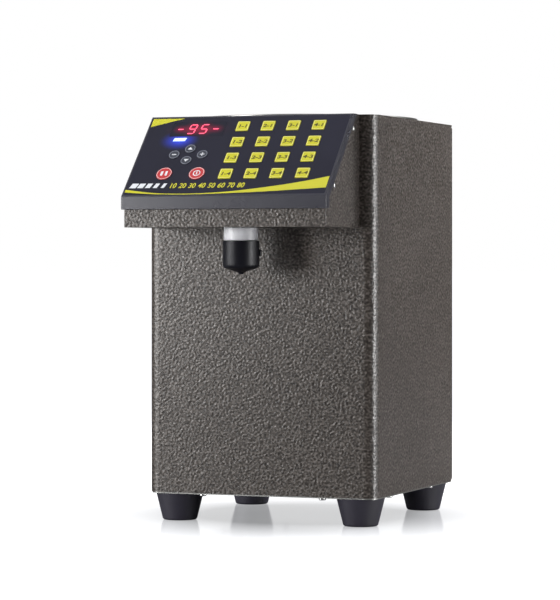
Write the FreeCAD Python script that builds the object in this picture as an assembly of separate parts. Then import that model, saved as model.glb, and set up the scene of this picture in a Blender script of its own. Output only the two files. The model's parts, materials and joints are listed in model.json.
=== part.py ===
import FreeCAD, Part
import math
import os

# Fructose dispenser. Millimetres. X runs across the machine, -Y is its front and +Z is up.
# The origin is on the counter, in the middle of the overall width and depth.

Vector = FreeCAD.Vector
across_axis = Vector(1, 0, 0)
deep_axis = Vector(0, 1, 0)
up_axis = Vector(0, 0, 1)

# Allowances of the modelling itself
over = 1.0                  # how far a cutting shape overruns what it cuts
same = 0.01                 # edges closer than this lie on the same line

# Cabinet
body_width = 270.0
body_depth = 272.0
cabinet_height = 417.5      # shell's lower edge to the deck's top
shell_sheet = 1.2
shell_flange = 14.0         # folded edge round each open side of the shell
front_corner_r = 13.0
rear_corner_r = 3.0
fold_r = 2.0                # least corner radius of a sheet opening
deck_sheet = 1.5
deck_screw_inset = 8.0
rear_sheet = 1.2
rear_panel_gap = 0.4        # rear panel's edge, in from the shell's
base_sheet = 1.5
base_setback = 1.0          # base plate's edge, in from the shell's

# Feet
foot_height = 31.0
foot_top_r = 26.8
foot_bottom_r = 19.0
foot_edge_r = 3.0
foot_inset_x = 27.0
foot_inset_y = 28.0
foot_web = 6.0              # rubber between the screw head and the base plate
foot_recess_r = 7.0

# Head, the sheet housing over the cup space
head_inset = 18.3           # head's side, in from the body's
head_reach = 104.5          # head's front sheet, out from the body's
head_height = 123.0
head_sheet = 1.2
head_flange = 12.0
head_edge_r = 1.2
roof_depth = 25.0           # flat top between the body and the slope
apron_height = 19.3         # bare sheet under the console's lip
lip_height = 14.0
window_top = 4.0            # head's opening under the console, from the slope's top
window_foot = 12.0          # and from the slope's foot

# Console bezel, overlay and display
bezel_proud = 4.5           # bezel's front, ahead of the head's front sheet
bezel_wall = 2.0
bezel_edge_r = 1.0
skirt_wall = 1.5
skirt_depth = 9.0
lip_return = 10.0
seat_gap = 0.3              # between parts that lie on each other with play
overlay_sheet = 0.4
overlay_sink = 0.1          # overlay's face, below the bezel's rim
overlay_margin = 2.2
overlay_corner_r = 2.0
display_share = -0.481      # its middle, of the bezel's half width
display_s = 20.0
display_width = 64.0
display_length = 22.0
window_sheet = 1.4
window_ledge = 2.5

# Keys, placed across by shares of the bezel's half width, and by s down the slope from its top edge
key_travel = 0.5
key_proud = 0.6
key_gap = 0.2
key_rim = 1.0               # rim under the bezel that keeps a key in
key_flange = 1.0            # that rim's thickness
dose_key = 14.6
dose_key_corner_r = 1.2
dose_first_share = -0.043
dose_first_s = 17.0
dose_pitch_share = 0.2495
dose_pitch_s = 24.3
dose_columns = 4
dose_rows = 4
menu_share = -0.485         # middle of the menu keys
red_share = -0.491          # and of the red keys
menu_key_r = 6.25
menu_s = 59.8
menu_reach_x = 16.6
menu_reach_s = 8.9
red_key_r = 9.0
red_s = 88.8
red_reach_x = 19.2

# Control board and switches
switch_size = 6.0
switch_body = 3.5
switch_stem_r = 1.7
switch_height = 4.3
switch_gap = 0.1            # left between a pressed key and its switch
board_sheet = 1.6
board_top_s = 7.0
board_foot_s = 106.0
board_sunk = 0.2            # parts on the board's back, into it
# Those parts: their middles across, of the board's half width, and their s, width, length and height
board_part_shares = [-0.18, 0.33, 0.67]
board_parts = [(48.0, 24.0, 24.0, 2.2), (40.0, 22.0, 16.0, 14.0), (90.0, 28.0, 8.0, 9.0)]
post_r = 3.5
post_clear = 0.75           # between a post and the nearest key's rim
board_edge = 1.5            # board beyond its posts
post_top_s = 30.0
post_foot_s = 77.5
cheek_boss = 8.0
cheek_screw_depth = 13.0    # below the slope's surface
cheek_screw_s = (10.0, 96.0)

# Nozzle
nozzle_reach = 55.0         # nozzle's axis, out from the body's front
collar_r = 18.65
collar_height = 14.0
neck_r = 16.8
neck_length = 13.0
ring_wire_r = 1.0
ring_proud = 0.2
ring_drop = 6.0             # seal ring's middle, below the collar
cap_r = 20.0
cap_side = 29.0
cap_cone = 5.4
cap_nib = 2.0
cap_nib_r = 3.2
cap_fit = 0.4
cap_floor = 2.6
cap_shoulder_r = 4.5
cap_floor_r = 1.5
rim_r = 0.7                 # rounding of the nozzle's rims
drip_r = 1.75
nib_end_r = 2.4
lug_proud = 2.4
lug_width = 7.0
lug_height = 7.0
lug_drop = 13.0
lug_angle = 15.0
lug_edge_r = 1.4
tube_r = 3.0                # outlet tube
tube_gap = 0.5
tube_end_gap = 3.0          # tube's end, above the cap's inner cone

# Valve
valve_flange_depth = 40.0
valve_flange = 4.0
valve_width = 26.0
valve_depth = 22.0
valve_height = 15.0
valve_screw_y = 14.5
chamber_roof = 1.5
chamber_r = 6.5
seat_wall = 4.0             # valve block under its chamber
guide_wall = 1.6
plunger_r = 4.0
plunger_gap = 0.3
plunger_length = 22.0
plunger_lift = 3.0
spring_wire_r = 0.4
spring_r = 3.0
spring_turns = 6.0
spring_end_gap = 0.05
spring_height = 13.0
coil_width = 29.0
coil_depth = 27.0
coil_height = 30.0
coil_edge_r = 2.0
blade_rise = 12.0           # coil's terminal blade
blade_length = 8.0
blade_width = 6.3
blade_sheet = 0.8

# Hoses and barbs
hose_r = 5.0
hose_bore_r = 3.6
barb_gap = 0.05
barb_bore_r = 2.0
barb_length = 14.0
hose_overlap = 12.0
hose_lead = 30.0            # hose's straight start, beyond a barb
valve_lead = 31.0           # and at the valve's barb
arc_share = 0.45            # of the shorter run, taken by an arc
# Points of the delivery hose, as shares of the body's half width, depth and height
climb_shares = [(-0.681, 0.243, 0.334), (-0.719, 0.169, 0.430), (-0.711, 0.121, 0.526),
                (-0.696, 0.103, 0.626), (-0.674, 0.051, 0.713), (-0.652, -0.044, 0.756),
                (-0.578, -0.140, 0.760)]
clamp_wall = 0.8
clamp_width = 6.0
clamp_ear = 4.0

# Tank and lid
tank_inset = 27.0           # tank's inside, in from the deck's edge
tank_depth = 220.0
tank_sheet = 1.2
tank_corner_r = 10.0
tank_flange_width = 14.8
tank_flange = 1.5
tank_clearance = 1.5        # round the tank, in the deck's hole
tank_setback = 1.0          # tank's axis, behind the body's middle
lid_overhang = 6.0          # lid's rim, beyond the tank's flange
lid_sheet = 1.2
lid_gap = 0.3
lid_lip = 9.0
lid_lip_gap = 0.8
lid_edge_r = 0.8
dish_r = 40.0
dish_depth = 22.0
dish_corner_r = 6.0
dish_mouth_r = 1.0
bar_r = 4.0
bar_sink = 1.0              # bar's top, below the lid's
bar_end = 1.0               # bar's end, beyond the dish's wall

# Pump: two gears, a driven one below and an idler above
pump_x = -50.0
pump_back = 92.0            # pump's front face, behind the body's front
drive_height = 34.0         # drive shaft, above the base plate
gear_module = 1.5
gear_teeth = 12
gear_addendum = 0.8         # in modules
gear_dedendum = 1.1         # in modules
gear_pressure_angle = 25.0
gear_backlash = 0.25
flank_points = 4
gear_width = 10.0
gear_side_gap = 0.15
gear_tip_gap = 0.3
shaft_r = 3.0
shaft_gap = 0.05
pump_side_wall = 12.0
pump_rear_wall = 12.0
pump_corner_r = 3.0
pump_cover_sheet = 5.0
cover_bearing = 3.5
rear_bearing = 8.0
elbow_r = 5.0
elbow_reach = 9.0
elbow_rise = 22.0
bracket_sheet = 3.0
bracket_hole_gap = 1.0
bracket_foot = 40.0
bracket_top = 10.0          # bracket, above the pump
bracket_side = 6.0          # bracket, beyond the pump's sides
bracket_screw_x = 22.0
motor_r = 21.0
motor_length = 72.0
motor_edge_r = 2.0
motor_boss_r = 8.0
motor_boss = 5.0
motor_shaft_depth = 12.0

# Power supply
supply_inset = 19.0         # its right side, in from the body's
supply_back = 42.0
supply_width = 108.0
supply_depth = 82.0
supply_height = 32.0
terminal_width = 14.0
terminal_step = 12.0
supply_screw_inset = 14.0

# Power inlet with its fuse drawer and switch, on the rear panel
inlet_inset = 57.0          # middle of the inlet, in from the body's right side
inlet_rise = 74.0           # middle of the inlet, above the base plate
inlet_flange_width = 50.0
inlet_flange_height = 62.0
inlet_flange = 3.0
inlet_corner_r = 3.0
inlet_width = 29.0
inlet_height = 54.0
inlet_depth = 30.0
inlet_fit = 0.3
inlet_screw_x = 20.0
socket_width = 24.4
socket_height = 16.8
socket_depth = 16.0
socket_drop = 15.5
socket_chamfer = 4.0
pin_length = 13.0
pin_width = 2.0
pin_height = 4.0
pin_pitch = 7.0
pin_offset = 2.0
pin_tail = 8.0
fuse_width = 22.0
fuse_height = 7.0
fuse_length = 20.0
fuse_rise = 1.2
fuse_gap = 0.25
fuse_grip = 2.0
fuse_grip_width = 7.0
fuse_wall = 1.5
fuse_floor = 1.0
rocker_width = 19.0
rocker_height = 12.0
rocker_rise = 16.5
rocker_gap = 0.8
rocker_tilt = 8.0
rocker_face = 2.6
rocker_edge_r = 0.5
rocker_root_width = 6.4
rocker_dip = 0.7
rocker_root = 6.0
rocker_pivot_depth = 3.0
rocker_pin_r = 1.2
rocker_pin = 1.5
rocker_pin_gap = 0.08
rocker_well = 13.0

# Vents in the rear panel
vent_inset = 77.0           # their middle, in from the body's left side
vent_rise = 60.0
vent_width = 70.0
vent_height = 4.0
vent_end_r = 1.8
vent_pitch = 11.0
vent_count = 9

# Opening in the body's front, behind the head, for the hose
pass_inset = 16.7           # its side, in from the head's
pass_drop = 22.0            # below the deck's top
pass_rise = 4.0             # above the head's underside

# Screws: M4 for the cabinet and M3 for small parts
m4_r = 2.0
m4_head_r = 4.0
m4_head = 2.4
m4_length = 10.0
m3_r = 1.5
m3_head_r = 2.75
m3_head = 2.0
m3_length = 8.0
cross_width = 1.0
head_round_share = 0.6      # of the head's height, taken by its rounding
cross_share = 0.65          # of the head, taken by the cross recess
hole_gap = 0.25             # round a screw in a sheet
thread_gap = 0.05           # round a screw in what it bites into
nut_wall = 2.2
nut_height = 3.2
rear_screw_rows = 4
rear_screw_end = 24.0
base_screw_offset = 71.0
head_screw_rows = 3
head_screw_end = 22.0
cover_screw_inset = 4.0
body_screw_x = 18.0

# Places that follow from the sizes above
rear_proud = inlet_flange + m3_head
overall_depth = head_reach + bezel_proud + body_depth + rear_proud
front_y = head_reach + bezel_proud - overall_depth / 2
back_y = front_y + body_depth
shell_rear_y = back_y - rear_sheet
cabinet_z = foot_height + base_sheet
deck_z = cabinet_z + cabinet_height
shell_top_z = deck_z - deck_sheet
body_half = body_width / 2
head_half = body_half - head_inset
head_z = deck_z - head_height
head_front_y = front_y - head_reach
bezel_front_y = head_front_y - bezel_proud
lip_z = head_z + apron_height
lip_top_z = lip_z + lip_height
bezel_half = head_half + seat_gap + skirt_wall

slope_top = Vector(0, front_y - roof_depth, deck_z)
slope_run = slope_top.y - bezel_front_y
slope_drop = deck_z - lip_top_z
slope_length = math.hypot(slope_run, slope_drop)
tilt = math.atan2(slope_drop, slope_run)
downhill = Vector(0, -math.cos(tilt), -math.sin(tilt))
outward = Vector(0, -math.sin(tilt), math.cos(tilt))
console_frame = FreeCAD.Placement(slope_top, FreeCAD.Rotation(across_axis, math.degrees(tilt)))

overlay_depth = overlay_sink + overlay_sheet
plate_depth = overlay_depth + bezel_wall
head_slope_depth = plate_depth + seat_gap
key_foot_depth = plate_depth + key_gap + key_flange
board_depth = key_foot_depth + key_travel + switch_gap + switch_height
window_pocket = overlay_sink + window_sheet
display_x = display_share * bezel_half
menu_x = menu_share * bezel_half
red_x = red_share * bezel_half
dose_first_x = dose_first_share * bezel_half
dose_pitch_x = dose_pitch_share * bezel_half
last_key_x = dose_first_x + (dose_columns - 1) * dose_pitch_x + dose_key / 2
post_x = last_key_x + key_rim + post_clear + post_r
board_half_width = post_x + post_r + board_edge

nozzle_y = front_y - nozzle_reach
collar_z = head_z - collar_height
neck_z = collar_z - neck_length
cap_top_z = collar_z - seat_gap
cap_shoulder_z = cap_top_z - cap_side
cap_cone_z = cap_shoulder_z - cap_cone
cap_tip_z = cap_cone_z - cap_nib
cap_bore_r = neck_r + cap_fit
valve_z = head_z + head_sheet
valve_top_z = valve_z + valve_height
valve_seat_z = valve_z + seat_wall
valve_barb_z = (valve_seat_z + valve_top_z) / 2
guide_r = plunger_r + plunger_gap
guide_outer_r = guide_r + guide_wall
plunger_z = valve_seat_z + seat_gap
plunger_top_z = plunger_z + plunger_length
spring_top_z = plunger_top_z + spring_height

tank_y = (front_y + back_y) / 2 + tank_setback
tank_inner_r = min(body_width, body_depth) / 2 - tank_inset
tank_outer_r = tank_inner_r + tank_sheet
tank_flange_r = tank_outer_r + tank_flange_width
lid_r = tank_flange_r + lid_overhang
tank_rim_z = deck_z + tank_flange
tank_floor_z = tank_rim_z - tank_depth
spigot_z = tank_floor_z - tank_sheet - barb_length
lid_z = tank_rim_z + lid_gap
lid_top_z = lid_z + lid_sheet
barb_r = hose_bore_r - barb_gap

pitch_r = gear_module * gear_teeth / 2
gear_tip_r = pitch_r + gear_module * gear_addendum
gear_spacing = 2 * pitch_r + gear_backlash / 2
pump_y = front_y + pump_back
drive_z = cabinet_z + drive_height
idler_z = drive_z + gear_spacing
mesh_z = (drive_z + idler_z) / 2
cavity_depth = gear_width + 2 * gear_side_gap
pump_rear_y = pump_y + cavity_depth + pump_rear_wall
pump_half = gear_tip_r + gear_tip_gap + pump_side_wall
pump_low_z = drive_z - pump_half
pump_high_z = idler_z + pump_half
motor_y = pump_rear_y + bracket_sheet
elbow_x = pump_half + elbow_reach
elbow_top_z = mesh_z + elbow_rise
port_y = pump_y + cavity_depth / 2

supply_x = body_half - supply_inset - supply_width
vent_x = vent_inset - body_half
inlet_x = body_half - inlet_inset
inlet_z = cabinet_z + inlet_rise
socket_z = inlet_z - socket_drop
fuse_z = inlet_z + fuse_rise
rocker_z = inlet_z + rocker_rise
inlet_face_y = back_y + inlet_flange


# Shapes

def outline(corners):
    """Flat face in the XY plane through (x, y) corners, or (x, y, radius) for a rounded one."""
    points = [Vector(corner[0], corner[1], 0) for corner in corners]
    arcs = []
    for index, point in enumerate(points):
        radius = corners[index][2] if len(corners[index]) > 2 else 0
        back = (points[index - 1] - point).normalize()
        ahead = (points[(index + 1) % len(points)] - point).normalize()
        half_angle = back.getAngle(ahead) / 2
        inner = (back + ahead).normalize() if radius else Vector()
        start = point + back * (radius / math.tan(half_angle))
        end = point + ahead * (radius / math.tan(half_angle))
        middle = point + inner * (radius / math.sin(half_angle) - radius)
        arcs.append((start, middle, end, radius))
    edges = []
    for index, (start, middle, end, radius) in enumerate(arcs):
        if radius:
            edges.append(Part.Arc(start, middle, end).toShape())
        following = arcs[(index + 1) % len(arcs)][0]
        if following.distanceToPoint(end) > same:
            edges.append(Part.LineSegment(end, following).toShape())
    return Part.Face(Part.Wire(edges))


def rectangle(low_x, high_x, low_y, high_y, radius=0):
    return [(low_x, low_y, radius), (high_x, low_y, radius), (high_x, high_y, radius),
            (low_x, high_y, radius)]


def moved(shape, rotation, shift):
    shape.Placement = FreeCAD.Placement(shift, rotation).multiply(shape.Placement)
    return shape


def upright(corners, low, high):
    """Prism on an (x, y) outline, between two heights."""
    solid = outline(corners).extrude(Vector(0, 0, high - low))
    return moved(solid, FreeCAD.Rotation(), Vector(0, 0, low))


def across(corners, low, high):
    """Prism on a (y, z) outline, between two places along X."""
    solid = outline(corners).extrude(Vector(0, 0, high - low))
    return moved(solid, FreeCAD.Rotation(Vector(1, 1, 1), 120), Vector(low, 0, 0))


def rearward(corners, low, high):
    """Prism on an (x, z) outline, between two places along Y."""
    solid = outline(corners).extrude(Vector(0, 0, high - low))
    return moved(solid, FreeCAD.Rotation(across_axis, 90), Vector(0, high, 0))


def on_console(corners, shallow, deep):
    """Plate parallel to the console, between two depths below its surface, on an (x, s) outline."""
    flat = [(corner[0], -corner[1]) + tuple(corner[2:]) for corner in corners]
    solid = outline(flat).extrude(Vector(0, 0, deep - shallow))
    solid.translate(Vector(0, 0, -deep))
    solid.Placement = console_frame.multiply(solid.Placement)
    return solid


def console_point(x, s, depth):
    return slope_top + Vector(x, 0, 0) + downhill * s - outward * depth


def console_rod(radius, x, s, shallow, deep):
    return Part.makeCylinder(radius, deep - shallow, console_point(x, s, deep), outward)


def turned(corners, centre):
    """Solid of revolution about the vertical line through centre, on an (r, z) outline."""
    face = outline(corners)
    face.rotate(Vector(), across_axis, 90)
    solid = face.revolve(Vector(), up_axis, 360)
    return moved(solid, FreeCAD.Rotation(), centre)


def block(low_x, high_x, low_y, high_y, low_z, high_z):
    size = (high_x - low_x, high_y - low_y, high_z - low_z)
    return Part.makeBox(size[0], size[1], size[2], Vector(low_x, low_y, low_z))


def rod(radius, start, direction, length):
    return Part.makeCylinder(radius, length, start, direction)


def fused(shapes):
    return shapes[0].multiFuse(shapes[1:]).removeSplitter() if len(shapes) > 1 else shapes[0]


def cut(shape, tools):
    return shape.cut(tools).removeSplitter() if tools else shape


def filleted(solid, radius, chosen):
    """Solid with the edges that the test chooses rounded off."""
    return solid.makeFillet(radius, [edge for edge in solid.Edges if chosen(edge)])


def spread(low, high, count):
    return [low + (high - low) * index / (count - 1) for index in range(count)]


# Fasteners: a seat is the point under the head, and the direction points out of the head

def cross_recess(head_r, head_height):
    reach = head_r * cross_share
    low = head_height * (1 - cross_share)
    arms = [block(-reach, reach, -cross_width / 2, cross_width / 2, low, head_height + over)]
    arms.append(block(-cross_width / 2, cross_width / 2, -reach, reach, low, head_height + over))
    return arms


def turned_to(shape, direction, seat):
    return moved(shape, FreeCAD.Rotation(up_axis, direction), seat)


def pan_screw(shank_r, head_r, head_height, length, seat, direction):
    profile = [(0, 0), (head_r, 0), (head_r, head_height, head_height * head_round_share), (0, head_height)]
    screw = fused([turned(profile, Vector()), rod(shank_r, Vector(), -up_axis, length)])
    return turned_to(cut(screw, cross_recess(head_r, head_height)), direction, seat)


def m4_screw(seat, direction):
    return pan_screw(m4_r, m4_head_r, m4_head, m4_length, seat, direction)


def m3_screw(seat, direction):
    return pan_screw(m3_r, m3_head_r, m3_head, m3_length, seat, direction)


def flush_screw(seat):
    """Countersunk M4 screw with its face level with the deck."""
    cone = m4_head_r - m4_r
    profile = [(0, 0), (m4_head_r, 0), (m4_r, -cone), (m4_r, -m4_length), (0, -m4_length)]
    screw = turned(profile, Vector())
    recess = moved(fused(cross_recess(m4_head_r, cone)), FreeCAD.Rotation(), Vector(0, 0, -cone))
    return turned_to(cut(screw, [recess]), up_axis, seat)


def flush_hole(seat):
    cone = m4_head_r - m4_r
    gap = hole_gap / 2
    profile = [(0, over), (m4_head_r + gap + over, over), (m4_r + gap, -cone), (m4_r + gap, -m4_length),
               (0, -m4_length)]
    return turned(profile, seat)


def holes(radius, length, seats):
    return [rod(radius, seat + direction * over, -direction, length + over) for seat, direction in seats]


def m4_clear(seats):
    return holes(m4_r + hole_gap, m4_length, seats)


def m4_thread(seats):
    return holes(m4_r + thread_gap, m4_length, seats)


def m3_clear(seats):
    return holes(m3_r + hole_gap, m3_length, seats)


def m3_thread(seats):
    return holes(m3_r + thread_gap, m3_length + thread_gap, seats)


def rear_seats():
    x = body_half - shell_flange / 2
    rows = spread(cabinet_z + rear_screw_end, shell_top_z - rear_screw_end, rear_screw_rows)
    return [(Vector(side * x, back_y, z), deep_axis) for side in (-1, 1) for z in rows]


def base_seats():
    middle_y = (front_y + back_y) / 2
    edge_x = body_half - shell_flange / 2
    edge_y = middle_y - front_y - shell_flange / 2
    seats = []
    for side in (-1, 1):
        for offset in (-base_screw_offset, base_screw_offset):
            seats.append((Vector(offset, middle_y + side * edge_y, foot_height), -up_axis))
            seats.append((Vector(side * edge_x, middle_y + offset, foot_height), -up_axis))
    return seats


def foot_centres():
    xs = (foot_inset_x - body_half, body_half - foot_inset_x)
    ys = (front_y + foot_inset_y, back_y - foot_inset_y)
    return [Vector(x, y, 0) for x in xs for y in ys]


def foot_seats():
    return [(centre + Vector(0, 0, foot_height - foot_web), -up_axis) for centre in foot_centres()]


def deck_seats():
    xs = (deck_screw_inset - body_half, body_half - deck_screw_inset)
    ys = (front_y + front_corner_r, back_y - front_corner_r)
    return [Vector(x, y, deck_z) for x in xs for y in ys]


def head_seats():
    x = head_half - head_flange / 2
    rows = spread(head_z + head_screw_end, deck_z - head_screw_end, head_screw_rows)
    return [(Vector(side * x, front_y + shell_sheet, z), deep_axis) for side in (-1, 1) for z in rows]


def bracket_seats():
    y = motor_y + bracket_foot / 2
    return [(Vector(pump_x + side * bracket_screw_x, y, foot_height), -up_axis) for side in (-1, 1)]


def supply_seats():
    near = Vector(supply_x + supply_screw_inset, front_y + supply_back + supply_screw_inset, foot_height)
    far = near + Vector(supply_width - 2 * supply_screw_inset, supply_depth - 2 * supply_screw_inset, 0)
    return [(near, -up_axis), (far, -up_axis)]


def cheek_seats():
    seats = []
    for side in (-1, 1):
        for s in cheek_screw_s:
            seats.append((console_point(side * head_half, s, cheek_screw_depth), across_axis * side))
    return seats


def post_places():
    return [(side * post_x, s) for side in (-1, 1) for s in (post_top_s, post_foot_s)]


def board_seats():
    return [(console_point(x, s, board_depth + board_sheet), -outward) for x, s in post_places()]


def valve_seats():
    z = valve_z + valve_flange
    return [(Vector(0, nozzle_y + side * valve_screw_y, z), up_axis) for side in (-1, 1)]


def inlet_seats():
    return [(Vector(inlet_x + side * inlet_screw_x, inlet_face_y, inlet_z), deep_axis) for side in (-1, 1)]


def cover_seats():
    inset = pump_half - cover_screw_inset
    y = pump_y - pump_cover_sheet
    zs = (drive_z - inset, idler_z + inset)
    return [(Vector(pump_x + side * inset, y, z), -deep_axis) for side in (-1, 1) for z in zs]


def pump_seats():
    z = (idler_z + pump_high_z) / 2 + cover_screw_inset
    return [(Vector(pump_x + side * body_screw_x, motor_y, z), deep_axis) for side in (-1, 1)]


# Cabinet

def cabinet_plan(inset, rear_y):
    half = body_half - inset
    front_r = max(front_corner_r - inset, fold_r)
    rear_r = max(rear_corner_r - inset, 0)
    low = front_y + inset
    return [(-half, low, front_r), (half, low, front_r), (half, rear_y, rear_r), (-half, rear_y, rear_r)]


def body_shell():
    outer = upright(cabinet_plan(0, shell_rear_y), cabinet_z, shell_top_z)
    inner_plan = cabinet_plan(shell_sheet, shell_rear_y - shell_sheet)
    inside = upright(inner_plan, cabinet_z + shell_sheet, shell_top_z - shell_sheet)
    well_plan = cabinet_plan(shell_flange, shell_rear_y - shell_flange)
    top_and_bottom = upright(well_plan, cabinet_z - over, deck_z)
    reach = body_half - shell_flange
    rear_window = rectangle(-reach, reach, cabinet_z + shell_flange, shell_top_z - shell_flange, fold_r)
    pass_half = head_half - pass_inset
    pass_plan = rectangle(-pass_half, pass_half, head_z + pass_rise, deck_z - pass_drop, fold_r)
    tools = [inside, top_and_bottom]
    tools.append(rearward(rear_window, shell_rear_y - 2 * shell_sheet, shell_rear_y + over))
    tools.append(rearward(pass_plan, front_y - over, front_y + 2 * shell_sheet))
    tools += m4_clear(rear_seats()) + m4_clear(base_seats()) + m4_clear(head_seats())
    tools += [flush_hole(seat) for seat in deck_seats()]
    return cut(outer, tools)


def top_deck():
    plate = upright(cabinet_plan(0, back_y), shell_top_z, deck_z)
    hole = rod(tank_outer_r + tank_clearance, Vector(0, tank_y, shell_top_z - over), up_axis,
               deck_sheet + 2 * over)
    return cut(plate, [hole] + [flush_hole(seat) for seat in deck_seats()])


def rear_panel():
    half = body_half - rear_panel_gap
    plan = rectangle(-half, half, cabinet_z + rear_panel_gap, shell_top_z - rear_panel_gap, rear_corner_r)
    panel = rearward(plan, shell_rear_y, back_y)
    half_width = inlet_width / 2 + inlet_fit
    half_height = inlet_height / 2 + inlet_fit
    cut_out = rectangle(inlet_x - half_width, inlet_x + half_width,
                        inlet_z - half_height, inlet_z + half_height, inlet_corner_r)
    tools = [rearward(cut_out, shell_rear_y - over, back_y + over)]
    for index in range(vent_count):
        low = cabinet_z + vent_rise + index * vent_pitch
        slot = rectangle(vent_x - vent_width / 2, vent_x + vent_width / 2, low, low + vent_height, vent_end_r)
        tools.append(rearward(slot, shell_rear_y - over, back_y + over))
    return cut(panel, tools + m4_clear(rear_seats()) + m3_thread(inlet_seats()))


def base_plate():
    plate = upright(cabinet_plan(base_setback, back_y - base_setback), foot_height, cabinet_z)
    nuts = [rod(m4_r + nut_wall, centre + Vector(0, 0, foot_height + base_sheet / 2), up_axis,
                nut_height + base_sheet / 2) for centre in foot_centres()]
    seats = base_seats() + bracket_seats() + supply_seats()
    return cut(fused([plate] + nuts), m4_clear(seats) + m4_thread(foot_seats()))


def rubber_foot(centre):
    bore_r = m4_r + hole_gap
    web_z = foot_height - foot_web
    profile = [(foot_recess_r, 0), (foot_bottom_r, 0, foot_edge_r), (foot_top_r, foot_height),
               (bore_r, foot_height), (bore_r, web_z), (foot_recess_r, web_z)]
    return turned(profile, centre)


def rubber_feet():
    return Part.makeCompound([rubber_foot(centre) for centre in foot_centres()])


def cabinet_screws():
    seats = rear_seats() + base_seats() + foot_seats() + head_seats() + bracket_seats() + supply_seats()
    screws = [m4_screw(seat, direction) for seat, direction in seats]
    return Part.makeCompound(screws + [flush_screw(seat) for seat in deck_seats()])


def small_screws():
    seats = cheek_seats() + board_seats() + valve_seats() + inlet_seats() + cover_seats() + pump_seats()
    return Part.makeCompound([m3_screw(seat, direction) for seat, direction in seats])


# Head and console

def slope_z(y, depth):
    """Height of the plane that lies a depth below the slope, at y."""
    return deck_z - (slope_top.y - y) * math.tan(tilt) - depth / math.cos(tilt)


def slope_y(z, depth):
    """Place of the same plane along Y, at height z."""
    return slope_top.y - (deck_z - z) / math.tan(tilt) + depth / math.sin(tilt)


def head_profile(inset, depth):
    low_z = head_z + inset
    high_z = deck_z - inset
    low_y = head_front_y + inset
    high_y = front_y - inset
    return [(high_y, low_z), (low_y, low_z), (low_y, slope_z(low_y, depth)), (slope_y(high_z, depth), high_z),
            (high_y, high_z)]


def head_housing():
    def front_edge(edge):
        return all(abs(v.Y - head_front_y) < same for v in edge.Vertexes) and edge.BoundBox.XLength < same
    outer = across(head_profile(0, head_slope_depth), -head_half, head_half)
    outer = filleted(outer, head_edge_r, front_edge)
    inner_half = head_half - head_sheet
    inside = across(head_profile(head_sheet, head_slope_depth + head_sheet), -inner_half, inner_half)
    window = rectangle(-inner_half, inner_half, window_top, slope_length - window_foot)
    reach = head_half - head_flange
    rear_window = rectangle(-reach, reach, head_z + pass_rise, deck_z - head_flange, fold_r)
    tools = [inside, on_console(window, 0, head_slope_depth + 2 * head_sheet)]
    tools.append(rearward(rear_window, front_y - 2 * head_sheet, front_y + over))
    tools.append(rod(tube_r + tube_gap, Vector(0, nozzle_y, head_z - over), up_axis, head_sheet + 2 * over))
    tools += m3_clear(cheek_seats()) + m4_thread(head_seats()) + m3_clear(valve_seats())
    return cut(outer, tools)


def keys():
    """Every key: its name, place and size. Square keys have a width, and round ones a radius."""
    listed = []
    for column in range(dose_columns):
        for row in range(dose_rows):
            x = dose_first_x + column * dose_pitch_x
            s = dose_first_s + row * dose_pitch_s
            listed.append(("dose_key_%d_%d" % (column + 1, row + 1), x, s, "square", dose_key / 2))
    listed.append(("menu_key_up", menu_x, menu_s - menu_reach_s, "round", menu_key_r))
    listed.append(("menu_key_left", menu_x - menu_reach_x, menu_s, "round", menu_key_r))
    listed.append(("menu_key_right", menu_x + menu_reach_x, menu_s, "round", menu_key_r))
    listed.append(("menu_key_down", menu_x, menu_s + menu_reach_s, "round", menu_key_r))
    listed.append(("red_key_left", red_x - red_reach_x, red_s, "round", red_key_r))
    listed.append(("red_key_right", red_x + red_reach_x, red_s, "round", red_key_r))
    return listed


def key_prism(key, grow, shallow, deep):
    x, s, form, size = key[1:]
    if form == "round":
        return console_rod(size + grow, x, s, shallow, deep)
    half = size + grow
    return on_console(rectangle(x - half, x + half, s - half, s + half, dose_key_corner_r), shallow, deep)


def key_cap(key):
    stem = key_prism(key, 0, -key_proud, key_foot_depth)
    middle = console_point(key[1], key[2], -key_proud)

    def face_edge(edge):
        return abs((edge.CenterOfMass - middle).dot(outward)) < same
    stem = filleted(stem, key_proud / 2, face_edge)
    return fused([stem, key_prism(key, key_rim, plate_depth + key_gap, key_foot_depth)])


def display_plan(inset):
    half_x = display_width / 2 - inset
    half_s = display_length / 2 - inset
    return rectangle(display_x - half_x, display_x + half_x, display_s - half_s, display_s + half_s)


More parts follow.
